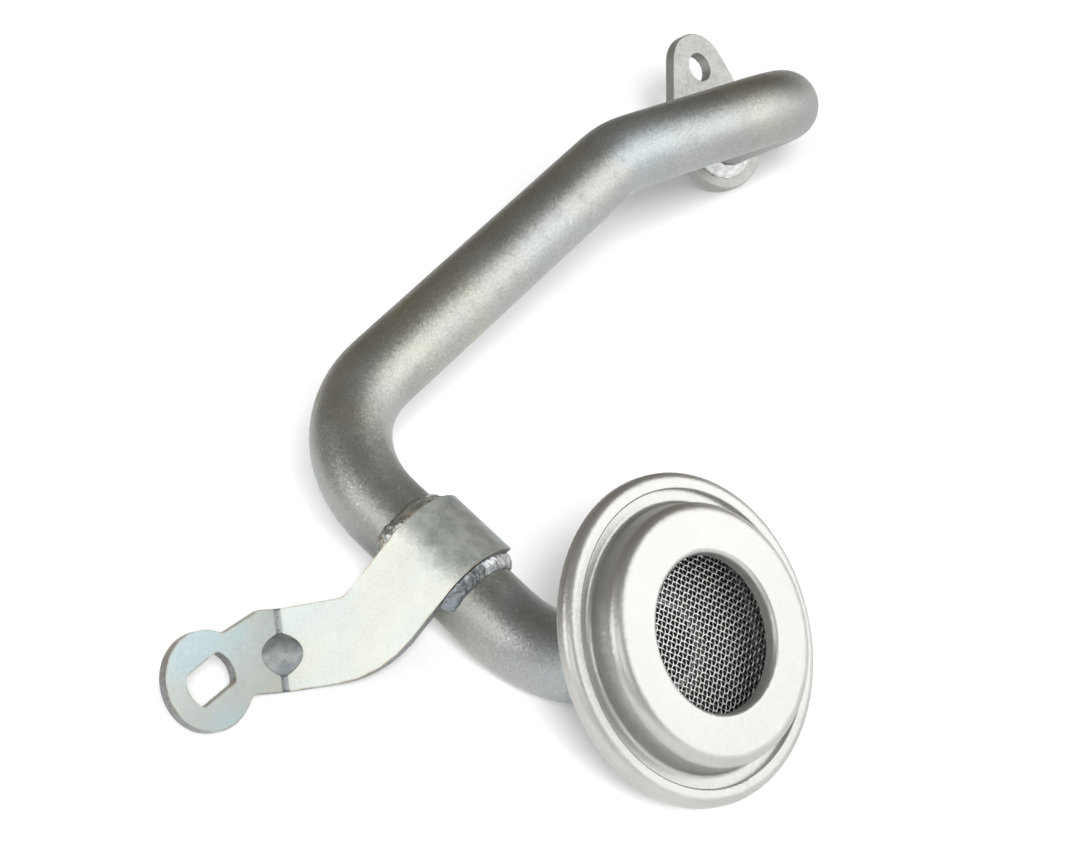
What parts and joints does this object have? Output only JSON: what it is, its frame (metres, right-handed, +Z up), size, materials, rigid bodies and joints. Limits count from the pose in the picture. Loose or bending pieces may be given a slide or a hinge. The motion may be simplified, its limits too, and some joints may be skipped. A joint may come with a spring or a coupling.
{
  "type": "oil pickup tube",
  "caption": "Bent steel oil pickup tube with a bolt-on flange, a slotted support strap and a round strainer head with a woven screen.",
  "frame": {"origin": "on the surface that the part rests on, below the middle of its outline", "axes": "+Z up as the part comes to rest on its flange, its strap and its strainer rim; +Y from the strainer end to the flange end, its longest way; +X from the strap's eye towards the elbow"},
  "size_m": [0.1838, 0.3454, 0.0709],
  "materials": {
    "tube_zinc": "satin zinc plating with a fine speckle",
    "plate_zinc": "satin zinc plating on stamped steel",
    "weld_zinc": "glossy plated weld bead",
    "strap_zinc": "pale zinc plating with a faint yellow and blue cast",
    "pressing_steel": "bright satin steel",
    "wire_steel": "bright woven wire"
  },
  "bodies": {
    "root": {"suction_tube": "tube_zinc", "flange_plate": "plate_zinc", "flange_weld": "weld_zinc", "bracket_strap": "strap_zinc", "strap_weld_upper": "weld_zinc", "strap_weld_lower": "weld_zinc", "strainer_back": "pressing_steel", "neck_weld": "weld_zinc", "strainer_cover": "pressing_steel", "strainer_mesh": "wire_steel"}
  },
  "joints": []
}
